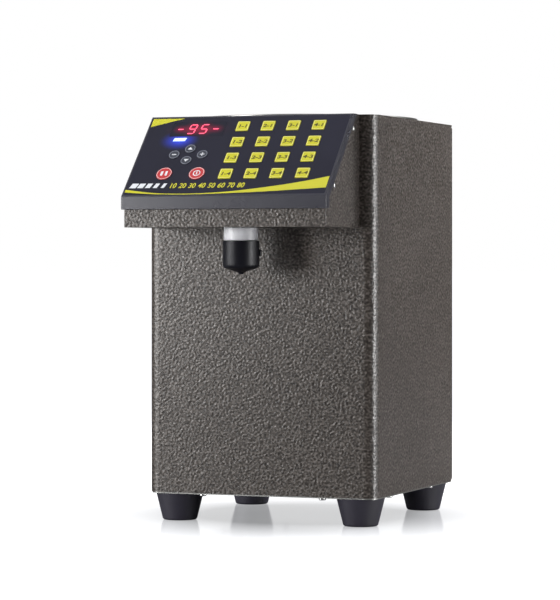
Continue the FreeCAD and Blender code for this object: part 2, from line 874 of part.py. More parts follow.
def console_bezel():
    def long_edge(edge):
        ends = [abs(abs(v.X) - bezel_half) < same for v in edge.Vertexes]
        return all(ends) and abs((edge.CenterOfMass - slope_top).dot(outward)) < same
    back_y_of_lip = bezel_front_y + lip_return
    profile = [(slope_top.y, deck_z), (bezel_front_y, lip_top_z, bezel_edge_r),
               (bezel_front_y, lip_z, bezel_edge_r / 2), (back_y_of_lip, lip_z),
               (back_y_of_lip, slope_z(back_y_of_lip, skirt_depth)), (slope_y(deck_z, skirt_depth), deck_z)]
    outer = filleted(across(profile, -bezel_half, bezel_half), bezel_edge_r, long_edge)
    lip_inner_y = head_front_y - seat_gap
    above_z = deck_z + over
    below_z = lip_z - over
    hollow = [(lip_inner_y, below_z), (lip_inner_y, slope_z(lip_inner_y, plate_depth)),
              (slope_y(above_z, plate_depth), above_z), (front_y, above_z), (front_y, below_z)]
    inner_half = head_half + seat_gap
    tray = cut(outer, [across(hollow, -inner_half, inner_half)])
    boss_x = head_half - head_sheet - seat_gap
    bosses = []
    for side in (-1, 1):
        for s in cheek_screw_s:
            low, high = sorted((side * boss_x, side * (boss_x - cheek_boss)))
            plan = rectangle(low, high, s - cheek_boss / 2, s + cheek_boss / 2)
            bosses.append(on_console(plan, plate_depth - over, cheek_screw_depth + cheek_boss / 2))
    posts = [console_rod(post_r, x, s, plate_depth - over, board_depth) for x, s in post_places()]
    tools = [on_console(overlay_plan(0), -over, overlay_depth)]
    tools += [key_prism(key, key_gap, -over, plate_depth + over) for key in keys()]
    tools.append(on_console(display_plan(0), -over, window_pocket))
    tools.append(on_console(display_plan(window_ledge), -over, plate_depth + over))
    tools += m3_thread(cheek_seats()) + m3_thread(board_seats())
    return cut(fused([tray] + bosses + posts), tools)


def overlay_plan(inset):
    half = bezel_half - overlay_margin - inset
    low_s = overlay_margin + inset
    return rectangle(-half, half, low_s, slope_length - low_s, overlay_corner_r)


def keypad_overlay():
    sheet = on_console(overlay_plan(key_gap / 2), overlay_sink, overlay_depth)
    tools = [key_prism(key, key_gap, -over, plate_depth) for key in keys()]
    tools.append(on_console(display_plan(0), -over, plate_depth))
    return cut(sheet, tools)


def display_window():
    return on_console(display_plan(key_gap / 2), overlay_sink, window_pocket)


def display_module():
    inset = window_ledge + seat_gap
    return on_console(display_plan(inset), window_pocket + seat_gap, board_depth)


def control_board():
    plan = rectangle(-board_half_width, board_half_width, board_top_s, board_foot_s, fold_r)
    board = on_console(plan, board_depth, board_depth + board_sheet)
    back = board_depth + board_sheet
    solids = [board]
    for share, (s, width, length, height) in zip(board_part_shares, board_parts):
        x = share * board_half_width
        part_plan = rectangle(x - width / 2, x + width / 2, s - length / 2, s + length / 2)
        solids.append(on_console(part_plan, back - board_sunk, back + height))
    return cut(fused(solids), m3_clear(board_seats()))


def tact_switch(x, s):
    half = switch_size / 2
    plan = rectangle(x - half, x + half, s - half, s + half)
    body = on_console(plan, board_depth - switch_body, board_depth)
    stem = console_rod(switch_stem_r, x, s, board_depth - switch_height, board_depth - switch_body / 2)
    return fused([body, stem])


def tact_switches():
    return Part.makeCompound([tact_switch(key[1], key[2]) for key in keys()])


# Nozzle and valve

def nozzle_collar():
    bore_r = tube_r + tube_gap
    profile = [(bore_r, neck_z), (neck_r, neck_z, rim_r), (neck_r, collar_z), (collar_r, collar_z, rim_r),
               (collar_r, head_z, rim_r), (bore_r, head_z)]
    ring_z = collar_z - ring_drop
    groove_r = neck_r + ring_proud - 2 * ring_wire_r - thread_gap
    half_width = ring_wire_r + thread_gap
    groove = rectangle(groove_r, neck_r + over, ring_z - half_width, ring_z + half_width)
    centre = Vector(0, nozzle_y, 0)
    return cut(turned(profile, centre), [turned(groove, centre)] + m3_thread(valve_seats()))


def nozzle_o_ring():
    centre = Vector(0, nozzle_y, collar_z - ring_drop)
    return Part.makeTorus(neck_r + ring_proud - ring_wire_r, ring_wire_r, centre, up_axis)


def nozzle_cap():
    floor_z = cap_shoulder_z + cap_floor
    funnel_z = cap_cone_z + cap_floor
    profile = [(drip_r, cap_tip_z), (nib_end_r, cap_tip_z), (cap_nib_r, cap_cone_z, cap_floor_r),
               (cap_r, cap_shoulder_z, cap_shoulder_r), (cap_r, cap_top_z, rim_r), (cap_bore_r, cap_top_z),
               (cap_bore_r, floor_z, cap_floor_r), (drip_r, funnel_z)]
    body = turned(profile, Vector())
    lug_low = cap_top_z - lug_drop - lug_height / 2
    lug = block(cap_bore_r + over, cap_r + lug_proud, -lug_width / 2, lug_width / 2,
                lug_low, lug_low + lug_height)
    lug = lug.makeFillet(lug_edge_r, [edge for edge in lug.Edges if edge.CenterOfMass.x > cap_r])
    lug.rotate(Vector(), up_axis, lug_angle)
    return moved(fused([body, lug]), FreeCAD.Rotation(), Vector(0, nozzle_y, 0))


def valve_body():
    def slab(width, depth, low, high):
        return block(-width / 2, width / 2, nozzle_y - depth / 2, nozzle_y + depth / 2, low, high)
    axis = Vector(0, nozzle_y, 0)
    tube_low = cap_shoulder_z + cap_floor + tube_end_gap
    barb_from = Vector(over - valve_width / 2, nozzle_y, valve_barb_z)
    guide_top = spring_top_z + guide_wall
    solids = [slab(valve_width, valve_flange_depth, valve_z, valve_z + valve_flange)]
    solids.append(slab(valve_width, valve_depth, valve_z, valve_top_z))
    solids.append(rod(tube_r, axis + up_axis * tube_low, up_axis, valve_z - tube_low + over))
    solids.append(rod(guide_outer_r, axis + up_axis * (valve_top_z - over), up_axis,
                      guide_top - valve_top_z + over))
    solids.append(rod(barb_r, barb_from, -across_axis, barb_length + over))
    seat = axis + up_axis * valve_seat_z
    chamber = rod(chamber_r, seat, up_axis, valve_top_z - valve_seat_z - chamber_roof)
    guide = rod(guide_r, seat, up_axis, spring_top_z - valve_seat_z)
    outlet = rod(drip_r, axis + up_axis * (tube_low - over), up_axis, valve_seat_z - tube_low + 2 * over)
    barb_bore = rod(barb_bore_r, barb_from + across_axis * (valve_width / 2), -across_axis,
                    barb_length + valve_width)
    return cut(fused(solids), [chamber, guide, outlet, barb_bore] + m3_clear(valve_seats()))


def solenoid_coil():
    def upright_edge(edge):
        return edge.BoundBox.ZLength > coil_height / 2
    low_z = valve_top_z
    coil = block(-coil_width / 2, coil_width / 2, nozzle_y - coil_depth / 2, nozzle_y + coil_depth / 2,
                 low_z, low_z + coil_height)
    coil = filleted(coil, coil_edge_r, upright_edge)
    bore = rod(guide_outer_r + thread_gap, Vector(0, nozzle_y, low_z - over), up_axis, coil_height + 2 * over)
    blade_z = low_z + blade_rise
    blade = block(coil_width / 2 - over, coil_width / 2 + blade_length, nozzle_y - blade_width / 2,
                  nozzle_y + blade_width / 2, blade_z, blade_z + blade_sheet)
    return cut(fused([coil, blade]), [bore])


def solenoid_plunger():
    return turned([(0, plunger_z), (plunger_r, plunger_z, rim_r), (plunger_r, plunger_top_z, rim_r),
                   (0, plunger_top_z)], Vector(0, nozzle_y, 0))


def plunger_spring():
    low = plunger_top_z + spring_wire_r + spring_end_gap
    height = spring_height - 2 * (spring_wire_r + spring_end_gap)
    helix = Part.makeHelix(height / spring_turns, height, spring_r)
    section = Part.Wire(Part.makeCircle(spring_wire_r, Vector(spring_r, 0, 0), deep_axis))
    coil = Part.Wire(helix.Edges).makePipeShell([section], True, True)
    return moved(coil, FreeCAD.Rotation(), Vector(0, nozzle_y, low))


# Tank and lid

def syrup_tank():
    outer_floor_z = tank_floor_z - tank_sheet
    profile = [(barb_bore_r, spigot_z), (barb_r, spigot_z), (barb_r, outer_floor_z),
               (tank_outer_r, outer_floor_z, tank_corner_r + tank_sheet), (tank_outer_r, deck_z),
               (tank_flange_r, deck_z), (tank_flange_r, tank_rim_z), (tank_inner_r, tank_rim_z),
               (tank_inner_r, tank_floor_z, tank_corner_r), (barb_bore_r, tank_floor_z)]
    return turned(profile, Vector(0, tank_y, 0))


def handle_rod(grow):
    z = lid_top_z - bar_sink - bar_r
    reach = dish_r + lid_sheet + bar_end
    return rod(bar_r + grow, Vector(-reach, tank_y, z), across_axis, 2 * reach)


def tank_lid():
    lip_r = tank_inner_r - lid_lip_gap
    skirt_r = lid_r - lid_sheet
    rim_low_z = deck_z + lid_gap
    lip_low_z = lid_z - lid_lip
    floor_z = lid_top_z - dish_depth
    dish_under_r = dish_corner_r + lid_sheet
    profile = [(0, floor_z - lid_sheet), (dish_r + lid_sheet, floor_z - lid_sheet, dish_under_r),
               (dish_r + lid_sheet, lid_z), (lip_r - lid_sheet, lid_z), (lip_r - lid_sheet, lip_low_z),
               (lip_r, lip_low_z), (lip_r, lid_z), (skirt_r, lid_z), (skirt_r, rim_low_z), (lid_r, rim_low_z),
               (lid_r, lid_top_z, lid_edge_r), (dish_r, lid_top_z, dish_mouth_r),
               (dish_r, floor_z, dish_corner_r), (0, floor_z)]
    return cut(turned(profile, Vector(0, tank_y, 0)), [handle_rod(thread_gap)])


def lid_handle():
    return handle_rod(0)


# Hoses

def hose(points):
    """Tube along straight runs joined by tangent arcs, each as large as its two runs allow."""
    centres = [Vector(*point) for point in points]
    edges = []
    radii = []
    start = centres[0]
    for before, corner, after in zip(centres, centres[1:], centres[2:]):
        back = before - corner
        ahead = after - corner
        setback = arc_share * min(back.Length, ahead.Length)
        back.normalize()
        ahead.normalize()
        half_turn = (math.pi - back.getAngle(ahead)) / 2
        radius = setback / math.tan(half_turn)
        inner = (back + ahead).normalize()
        first = corner + back * setback
        last = corner + ahead * setback
        middle = corner + inner * (radius / math.cos(half_turn) - radius)
        edges.append(Part.LineSegment(start, first).toShape())
        edges.append(Part.Arc(first, middle, last).toShape())
        radii.append(round(radius, 1))
        start = last
    edges.append(Part.LineSegment(start, centres[-1]).toShape())
    path = Part.Wire(edges)
    direction = centres[1] - centres[0]
    skins = []
    for radius in (hose_r, hose_bore_r):
        section = Part.Wire(Part.makeCircle(radius, centres[0], direction))
        skins.append(path.makePipeShell([section], True, False))
    tube = skins[0].cut(skins[1])
    section_area = math.pi * (hose_r ** 2 - hose_bore_r ** 2)
    print("hose radii", radii, "length", round(path.Length, 1),
          "volume share", round(tube.Volume / (section_area * path.Length), 4))
    return tube


def spigot_end():
    return Vector(0, tank_y, spigot_z)


def suction_end():
    return Vector(pump_x + elbow_x, port_y, elbow_top_z)


def delivery_start():
    return Vector(pump_x - elbow_x, port_y, elbow_top_z)


def valve_end():
    return Vector(-valve_width / 2 - barb_length, nozzle_y, valve_barb_z)


def suction_hose():
    top = spigot_end()
    foot = suction_end()
    return hose([top + up_axis * hose_overlap, top - up_axis * hose_lead, foot + up_axis * hose_lead,
                 foot - up_axis * hose_overlap])


def delivery_hose():
    start = delivery_start()
    end = valve_end()
    route = [start - up_axis * hose_overlap, start + up_axis * hose_lead]
    for side, back, rise in climb_shares:
        route.append(Vector(side * body_half, front_y + back * body_depth, cabinet_z + rise * cabinet_height))
    route += [end - across_axis * valve_lead, end + across_axis * hose_overlap]
    return hose(route)


def hose_clamp(end, direction, side):
    """Clamp round a hose over its barb: a band with a screw ear to one side."""
    middle = end - direction * (hose_overlap / 2)
    start = middle - direction * (clamp_width / 2)
    band_r = hose_r + thread_gap + clamp_wall
    ear_low = start + side * (hose_r + clamp_wall / 2)
    ear = rod(clamp_ear / 2, ear_low + side * (clamp_ear / 2), direction, clamp_width)
    band = fused([rod(band_r, start, direction, clamp_width), ear])
    return cut(band, [rod(hose_r + thread_gap, start - direction * over, direction, clamp_width + 2 * over)])


def hose_clamps():
    clamps = [hose_clamp(spigot_end(), -up_axis, deep_axis), hose_clamp(suction_end(), up_axis, deep_axis)]
    clamps.append(hose_clamp(delivery_start(), up_axis, deep_axis))
    clamps.append(hose_clamp(valve_end(), -across_axis, up_axis))
    return Part.makeCompound(clamps)


# Pump

def involute(angle):
    return math.tan(angle) - angle


def gear_outline(phase):
    """Toothed (x, z) outline about the origin, with a tooth at the phase angle."""
    pressure = math.radians(gear_pressure_angle)
    base_r = pitch_r * math.cos(pressure)
    root_r = pitch_r - gear_module * gear_dedendum
    pitch_half = math.pi / (2 * gear_teeth) - gear_backlash / (2 * pitch_r)
    flank = [(root_r, pitch_half + involute(pressure))]
    for radius in spread(base_r, gear_tip_r, flank_points):
        flank.append((radius, pitch_half + involute(pressure) - involute(math.acos(base_r / radius))))
    tooth = [(radius, -half) for radius, half in flank] + [(radius, half) for radius, half in reversed(flank)]
    points = []
    for index in range(gear_teeth):
        centre = phase + 2 * math.pi * index / gear_teeth
        points += [(r * math.cos(centre + turn), r * math.sin(centre + turn)) for r, turn in tooth]
    return points


def gear_with_shaft(z, phase, shaft_end_y):
    plan = [(pump_x + x, z + height) for x, height in gear_outline(phase)]
    gear = rearward(plan, pump_y + gear_side_gap, pump_y + gear_side_gap + gear_width)
    shaft_start_y = pump_y - cover_bearing + gear_side_gap
    shaft = rod(shaft_r, Vector(pump_x, shaft_start_y, z), deep_axis, shaft_end_y - shaft_start_y)
    return fused([gear, shaft])


def drive_gear():
    return gear_with_shaft(drive_z, math.pi / 2, motor_y + motor_shaft_depth - gear_side_gap)


def idler_gear():
    end_y = pump_y + cavity_depth + rear_bearing - gear_side_gap
    return gear_with_shaft(idler_z, math.pi / 2 + math.pi / gear_teeth, end_y)


def bearing_holes(low_y, drive_end_y, idler_end_y):
    radius = shaft_r + shaft_gap
    drive = rod(radius, Vector(pump_x, low_y, drive_z), deep_axis, drive_end_y - low_y)
    idler = rod(radius, Vector(pump_x, low_y, idler_z), deep_axis, idler_end_y - low_y)
    return [drive, idler]


def pump_plan():
    return rectangle(pump_x - pump_half, pump_x + pump_half, pump_low_z, pump_high_z, pump_corner_r)


def pump_body():
    solids = [rearward(pump_plan(), pump_y, pump_rear_y)]
    tools = [rod(gear_tip_r + gear_tip_gap, Vector(pump_x, pump_y - over, z), deep_axis, cavity_depth + over)
             for z in (drive_z, idler_z)]
    for side in (-1, 1):
        elbow = Vector(pump_x + side * elbow_x, port_y, mesh_z)
        inner = Vector(pump_x + side * (pump_half - over), port_y, mesh_z)
        solids.append(rod(elbow_r, inner, across_axis * side, elbow_reach + over))
        solids.append(Part.makeSphere(elbow_r, elbow))
        solids.append(rod(barb_r, elbow, up_axis, elbow_rise))
        tools.append(rod(barb_bore_r, Vector(pump_x, port_y, mesh_z), across_axis * side, elbow_x))
        tools.append(rod(barb_bore_r, elbow, up_axis, elbow_rise + over))
    tools += bearing_holes(pump_y - over, pump_rear_y + over, pump_y + cavity_depth + rear_bearing)
    return cut(fused(solids), tools + m3_thread(cover_seats()) + m3_thread(pump_seats()))


def pump_cover():
    cover = rearward(pump_plan(), pump_y - pump_cover_sheet, pump_y)
    bearings = bearing_holes(pump_y - cover_bearing, pump_y + over, pump_y + over)
    return cut(cover, bearings + m3_clear(cover_seats()))


def pump_bracket():
    low_x = pump_x - pump_half - bracket_side
    high_x = pump_x + pump_half + bracket_side
    wall = block(low_x, high_x, pump_rear_y, motor_y, cabinet_z, pump_high_z + bracket_top)
    foot = block(low_x, high_x, pump_rear_y, motor_y + bracket_foot, cabinet_z, cabinet_z + bracket_sheet)
    shaft_hole = rod(shaft_r + bracket_hole_gap, Vector(pump_x, pump_rear_y - over, drive_z), deep_axis,
                     bracket_sheet + 2 * over)
    return cut(fused([wall, foot]), [shaft_hole] + m4_clear(bracket_seats()) + m3_clear(pump_seats()))


def pump_motor():
    can = rod(motor_r, Vector(pump_x, motor_y, drive_z), deep_axis, motor_length)
    can = filleted(can, motor_edge_r, lambda edge: edge.BoundBox.YLength < same)
    boss_start = Vector(pump_x, motor_y + motor_length - over, drive_z)
    boss = rod(motor_boss_r, boss_start, deep_axis, motor_boss + over)
    bore_start = Vector(pump_x, motor_y - over, drive_z)
    bore = rod(shaft_r + shaft_gap, bore_start, deep_axis, motor_shaft_depth + over)
    return cut(fused([can, boss]), [bore])


# Power

def power_supply():
    low_y = front_y + supply_back
    high_x = supply_x + supply_width
    case = block(supply_x, high_x - terminal_width, low_y, low_y + supply_depth, cabinet_z,
                 cabinet_z + supply_height)
    shelf = block(high_x - terminal_width - over, high_x, low_y, low_y + supply_depth, cabinet_z,
                  cabinet_z + supply_height - terminal_step)
    return cut(fused([case, shelf]), m4_thread(supply_seats()))


def socket_plan(inset):
    half_width = socket_width / 2 - inset
    low = socket_z - socket_height / 2 + inset
    high = socket_z + socket_height / 2 - inset
    return [(inlet_x - half_width, low), (inlet_x + half_width, low),
            (inlet_x + half_width, high - socket_chamfer), (inlet_x + half_width - socket_chamfer, high),
            (inlet_x - half_width + socket_chamfer, high), (inlet_x - half_width, high - socket_chamfer)]


def pin_blades(grow):
    """Three blades; the earth blade stands above the middle of the other two."""
    floor_y = inlet_face_y - socket_depth
    low_y = back_y - inlet_depth - pin_tail
    blades = []
    for offset, height in ((-pin_pitch, -pin_offset), (pin_pitch, -pin_offset), (0, pin_offset)):
        x = inlet_x + offset
        z = socket_z + height
        blades.append(block(x - pin_width / 2 - grow, x + pin_width / 2 + grow, low_y, floor_y + pin_length,
                            z - pin_height / 2 - grow, z + pin_height / 2 + grow))
    return blades


def centred_plan(z, width, height, grow=0, radius=0):
    half_width = width / 2 + grow
    half_height = height / 2 + grow
    return rectangle(inlet_x - half_width, inlet_x + half_width, z - half_height, z + half_height, radius)


def rocker_pin_rod(grow, length):
    middle = Vector(inlet_x, inlet_face_y - rocker_pivot_depth, rocker_z - length / 2)
    return rod(rocker_pin_r + grow, middle, up_axis, length)


def power_inlet():
    flange = rearward(centred_plan(inlet_z, inlet_flange_width, inlet_flange_height, 0, inlet_corner_r),
                      back_y, inlet_face_y)
    body = rearward(centred_plan(inlet_z, inlet_width, inlet_height, 0, inlet_corner_r),
                    back_y - inlet_depth, back_y + over)
    face = inlet_face_y + over
    tools = [rearward(socket_plan(0), inlet_face_y - socket_depth, face)]
    tools.append(rearward(centred_plan(fuse_z, fuse_width, fuse_height, fuse_gap),
                          inlet_face_y - fuse_length - fuse_gap, face))
    tools.append(rearward(centred_plan(rocker_z, rocker_width, rocker_height, rocker_gap),
                          inlet_face_y - rocker_well, face))
    pin_hole_length = rocker_height + 2 * (rocker_pin + rocker_gap + rocker_pin_gap)
    tools.append(rocker_pin_rod(rocker_pin_gap, pin_hole_length))
    tools += pin_blades(thread_gap)
    return cut(fused([flange, body]), tools + m3_clear(inlet_seats()))


def inlet_pins():
    return Part.makeCompound(pin_blades(0))


def fuse_drawer():
    drawer = rearward(centred_plan(fuse_z, fuse_width, fuse_height), inlet_face_y - fuse_length, inlet_face_y)
    low_z = fuse_z - fuse_height / 2
    notch = rearward(centred_plan(low_z, fuse_grip_width, fuse_grip), inlet_face_y - fuse_grip,
                     inlet_face_y + over)
    half = fuse_width / 2 - fuse_wall
    fuse_well = block(inlet_x - half, inlet_x + half, inlet_face_y - fuse_length + fuse_wall,
                      inlet_face_y - 2 * fuse_grip, low_z + fuse_floor, fuse_z + fuse_height)
    return cut(drawer, [notch, fuse_well])


def power_rocker():
    """Switch paddle with a shallow V face, tipped to one side about its upright pin."""
    half = rocker_width / 2
    pivot = Vector(inlet_x, inlet_face_y - rocker_pivot_depth, rocker_z)
    root_half = rocker_root_width / 2
    plan = [(-half, 0), (-root_half, -rocker_root), (root_half, -rocker_root), (half, 0),
            (half, rocker_face, rocker_edge_r), (0, rocker_face - rocker_dip),
            (-half, rocker_face, rocker_edge_r)]
    paddle = upright(plan, -rocker_height / 2, rocker_height / 2)
    pins = rod(rocker_pin_r, Vector(0, 0, -rocker_height / 2 - rocker_pin - rocker_gap), up_axis,
               rocker_height + 2 * (rocker_pin + rocker_gap))
    return moved(fused([paddle, pins]), FreeCAD.Rotation(up_axis, -rocker_tilt), pivot)


def write(name, shape):
    shape.exportStep("parts/%s.step" % name)


os.makedirs("parts", exist_ok=True)
for maker in (body_shell, top_deck, rear_panel, base_plate, rubber_feet, cabinet_screws, small_screws,
              head_housing, console_bezel, keypad_overlay, display_window, display_module, control_board,
              tact_switches, nozzle_collar, nozzle_o_ring, nozzle_cap, valve_body, solenoid_coil,
              solenoid_plunger, plunger_spring, syrup_tank, tank_lid, lid_handle, suction_hose, delivery_hose,
              hose_clamps, pump_body, pump_cover, drive_gear, idler_gear, pump_bracket, pump_motor,
              power_supply, power_inlet, inlet_pins, fuse_drawer, power_rocker):
    write(maker.__name__, maker())
for each_key in keys():
    write(each_key[0], key_cap(each_key))
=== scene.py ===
"""Looks of the fructose dispenser: its finishes, the printed console, the lit display and a pale studio.

Lengths are in metres. The console's graphics are placed on its slope, by x across it and by s down it from
its top edge.
"""

import json
import math

import bmesh
import bpy
from mathutils import Matrix, Vector


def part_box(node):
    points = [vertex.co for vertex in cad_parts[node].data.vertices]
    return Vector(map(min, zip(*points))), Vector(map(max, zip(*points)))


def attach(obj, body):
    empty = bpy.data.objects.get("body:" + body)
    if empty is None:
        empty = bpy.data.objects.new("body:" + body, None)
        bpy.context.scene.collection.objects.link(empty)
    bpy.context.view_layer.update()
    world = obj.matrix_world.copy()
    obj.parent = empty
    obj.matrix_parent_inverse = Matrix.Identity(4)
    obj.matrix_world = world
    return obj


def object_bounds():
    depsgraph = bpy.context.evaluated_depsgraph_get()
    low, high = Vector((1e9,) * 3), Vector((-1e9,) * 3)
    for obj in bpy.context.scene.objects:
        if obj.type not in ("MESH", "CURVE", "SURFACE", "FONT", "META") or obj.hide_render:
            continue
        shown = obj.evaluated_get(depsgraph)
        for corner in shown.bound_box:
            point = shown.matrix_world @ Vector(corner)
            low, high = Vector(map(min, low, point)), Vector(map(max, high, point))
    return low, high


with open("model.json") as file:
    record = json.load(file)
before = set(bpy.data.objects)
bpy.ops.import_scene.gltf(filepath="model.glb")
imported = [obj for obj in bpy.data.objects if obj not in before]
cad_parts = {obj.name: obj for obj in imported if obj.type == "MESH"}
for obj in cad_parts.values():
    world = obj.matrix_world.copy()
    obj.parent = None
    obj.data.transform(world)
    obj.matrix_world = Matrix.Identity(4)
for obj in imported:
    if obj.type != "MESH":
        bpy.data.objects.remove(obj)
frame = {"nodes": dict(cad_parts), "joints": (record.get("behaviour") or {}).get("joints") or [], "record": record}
cad_low, cad_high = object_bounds()
scene = bpy.context.scene
joints = {joint["name"]: joint for joint in frame["joints"]}
mm = 0.001

# Camera: level, in front and to the right
eye = Vector((1.1408, -2.9326, 0.2925))
eye_azimuth = math.radians(21.41)
eye_lens = 167.0            # focal length in millimetres, as is the sensor's width
eye_sensor = 36.0
eye_shift = -0.0678

# Console
across = Vector((1, 0, 0))
outward = -Vector(joints["dose_key_1_1_press"]["axis"]).normalized()
downhill = across.cross(outward)
overlay_edge = 2.3 * mm     # overlay's top edge, below the slope's
ink = 0.06 * mm             # thickness of what is printed

# Colours, linear
yellow = (0.565, 0.54, 0.024)
olive = (0.088, 0.08, 0.013)
pale = (0.72, 0.74, 0.78)
film_color = (0.017, 0.017, 0.029)
paint_ground = (0.022, 0.0175, 0.0145)
paint_middle = (0.062, 0.0515, 0.044)
paint_vein = (0.142, 0.124, 0.111)

# Square keys: legend and border
legend_height = 4.9 * mm
legend_slant = 0.1
legend_stretch = 1.3
legend_weight = 0.045       # growth of each stroke's outline, as a share of the height
rim_half = 6.65 * mm
rim_radius = 0.9 * mm
rim_hole_half = 6.25 * mm
rim_hole_radius = 0.7 * mm

# Round keys: ring inside the key's edge, and a mark
ring_inset = 1.35 * mm
ring_width = 0.9 * mm
arrow_half = 3.0 * mm
arrow_foot = 1.65 * mm      # from the key's middle, as is the tip
arrow_tip = 2.25 * mm
sign_length = 5.2 * mm      # of the minus, and of the plus's level bar
sign_thick = 1.1 * mm
plus_arm = 1.9 * mm         # upright arms, each a hair away from the level bar
plus_gap = 0.05 * mm
pause_width = 2.6 * mm
pause_height = 6.6 * mm
pause_offset = 2.6 * mm
power_radius = 4.3 * mm
power_hole = 3.2 * mm
power_bar_width = 1.2 * mm
power_bar_height = 4.8 * mm

# Stripes on the overlay, each between an upper and a lower curve through points of x and s in millimetres
foot_stripe = ([(-115.8, 112.6), (-80, 118), (-40, 119.2), (0, 117), (40, 111.5), (80, 104), (115.5, 95)],
               [(-115.8, 116.6), (-80, 119.6), (-40, 120.3), (0, 119.2), (40, 117.4), (80, 114.6),
                (115.5, 111.8)])
top_stripe = ([(-115.6, 2.9), (-98, 2.9), (-78, 2.9)],
              [(-115.6, 15.5), (-98, 9.6), (-80, 3.6)])

# Bottom row of the overlay: slanted bars, then numbers
row_s = 106.8 * mm
number_count = 8
number_step = 10
number_x = -62.0 * mm
number_pitch = 11.3 * mm
number_height = 7.2 * mm
number_slant = 0.15
number_stretch = 0.82
number_weight = 0.03
stroke_count = 5
stroke_x = -107.5 * mm
stroke_pitch = 8.8 * mm
stroke_width = 7.8 * mm
stroke_loss = 1.0 * mm      # each stroke is narrower than the one before by this
stroke_height = 6.8 * mm
stroke_slant = 0.35

# Level lamp and digits
lamp_x = -74.5 * mm
lamp_s = 36.0 * mm
lamp_width = 14.4 * mm
lamp_height = 4.8 * mm
lamp_slant = 0.3
digit_x = -78.0 * mm
digit_s = 20.0 * mm
digit_pitch = 13.9 * mm
digit_width = 7.4 * mm      # between the middles of its upright bars
digit_height = 13.5 * mm
digit_thick = 1.5 * mm
digit_gap = 0.25 * mm
digit_slant = 0.16

# Seven bars of a digit: place across in widths, place up in half heights, and whether it stands upright
digit_bars = {"a": (0, 1, False), "b": (0.5, 0.5, True), "c": (0.5, -0.5, True), "d": (0, -1, False),
              "e": (-0.5, -0.5, True), "f": (-0.5, 0.5, True), "g": (0, 0, False)}
digits_shown = ("g", "abcdfg", "acdfg", "g")    # -95-

# Light spilt on the panel: centre and reach by x and s in millimetres, colour and strength
glow_depth = 10.0 * mm
panel_glows = [((-74.5, 37), (26, 17), (0.03, 0.07, 0.9), 1.3),
               ((-57, 20), (46, 17), (0.30, 0.0, 0.03), 0.35)]
window_glows = [((-64, 20), (16, 13), (0.42, 0.0, 0.03), 0.9),
                ((-50, 20), (16, 13), (0.42, 0.0, 0.03), 0.9),
                ((-78, 20), (12, 9), (0.38, 0.0, 0.05), 0.6),
                ((-36, 20), (12, 9), (0.38, 0.0, 0.05), 0.6)]

# Rocker: at rest it leans to one side, and its two wings slope from the middle
rocker_lean = math.radians(-8)
wing_slope = math.radians(4.2)
wing_mark_reach = 5.0 * mm  # marks' middles, to each side of the pivot and out from it
wing_mark_rise = 2.29 * mm
on_mark_width = 0.7 * mm
on_mark_height = 4.0 * mm
off_mark_radius = 1.9 * mm
off_mark_hole = 1.25 * mm
off_mark_steps = 24


def camera():
    lens = bpy.data.cameras.new("camera")
    lens.lens = eye_lens
    lens.sensor_width = eye_sensor
    lens.shift_y = eye_shift
    holder = bpy.data.objects.new("camera", lens)
    holder.location = eye
    holder.rotation_euler = (math.pi / 2, 0, eye_azimuth)
    scene.collection.objects.link(holder)
    scene.camera = holder


# Node trees

class Nodes:
    """A node tree, with small helpers that add to it. A value is fixed, or another node's output."""

    def __init__(self, tree):
        self.tree = tree

    def feed(self, socket, value):
        if isinstance(value, bpy.types.NodeSocket):
            self.tree.links.new(value, socket)
        else:
            socket.default_value = value

    def add(self, kind, values=None, **settings):
        node = self.tree.nodes.new(kind)
        for key, value in settings.items():
            setattr(node, key, value)
        for socket, value in (values or {}).items():
            self.feed(node.inputs[socket], value)
        return node

    def math(self, operation, first, second=0.0, third=0.0):
        values = {0: first, 1: second, 2: third}
        return self.add("ShaderNodeMath", values, operation=operation).outputs[0]

    def vector(self, operation, first, second=(0, 0, 0)):
        return self.add("ShaderNodeVectorMath", {0: first, 1: second}, operation=operation).outputs

    def remap(self, value, low, high, new_low=0.0, new_high=1.0):
        values = {"Value": value, "From Min": low, "From Max": high, "To Min": new_low, "To Max": new_high}
        return self.add("ShaderNodeMapRange", values).outputs["Result"]

    def ramp(self, value, stops):
        node = self.add("ShaderNodeValToRGB", {"Fac": value})
        steps = node.color_ramp.elements
        while len(steps) < len(stops):
            steps.new(0.5)
        for step, (position, color) in zip(steps, stops):
            step.position = position
            step.color = (*color, 1)
        return node.outputs["Color"]

    def blend(self, amount, first, second, **settings):
        """Mixes two colours. The colour sockets of the node are its inputs 6 and 7 and its output 2."""
        node = self.add("ShaderNodeMix", {0: amount}, data_type="RGBA", **settings)
        for socket, value in ((6, first), (7, second)):
            self.feed(node.inputs[socket], (*value, 1) if isinstance(value, tuple) else value)
        return node.outputs[2]


class Finish(Nodes):
    """A principled material, with helpers that add procedural detail to it."""

    def __init__(self, name, color, roughness, **settings):
        self.look = bpy.data.materials.new(name)
        self.look.use_nodes = True
        super().__init__(self.look.node_tree)
        self.skin = self.tree.nodes["Principled BSDF"]
        self.drive("Base Color", (*color, 1))
        self.drive("Roughness", roughness)
        for socket, value in settings.items():
            self.drive(socket.replace("_", " "), value)
        self.place = self.add("ShaderNodeTexCoord").outputs["Object"]

    def noise(self, scale, detail=2.0, place=None):
        values = {"Vector": place or self.place, "Scale": scale, "Detail": detail}
        return self.add("ShaderNodeTexNoise", values).outputs["Fac"]

    def drive(self, socket, value):
        self.feed(self.skin.inputs[socket], value)

    def shade(self, value, color, *stops, socket="Base Color"):
        """Drives a colour through shades of itself. Each stop is a place on the ramp and a factor."""
        self.drive(socket, self.ramp(value, [(place, shades(color, factor)) for place, factor in stops]))

    def bump(self, height, distance):
        relief = self.add("ShaderNodeBump", {"Height": height, "Distance": distance})
        self.drive("Normal", relief.outputs["Normal"])


def shades(color, factor):
    return tuple(min(1.0, channel * factor) for channel in color)


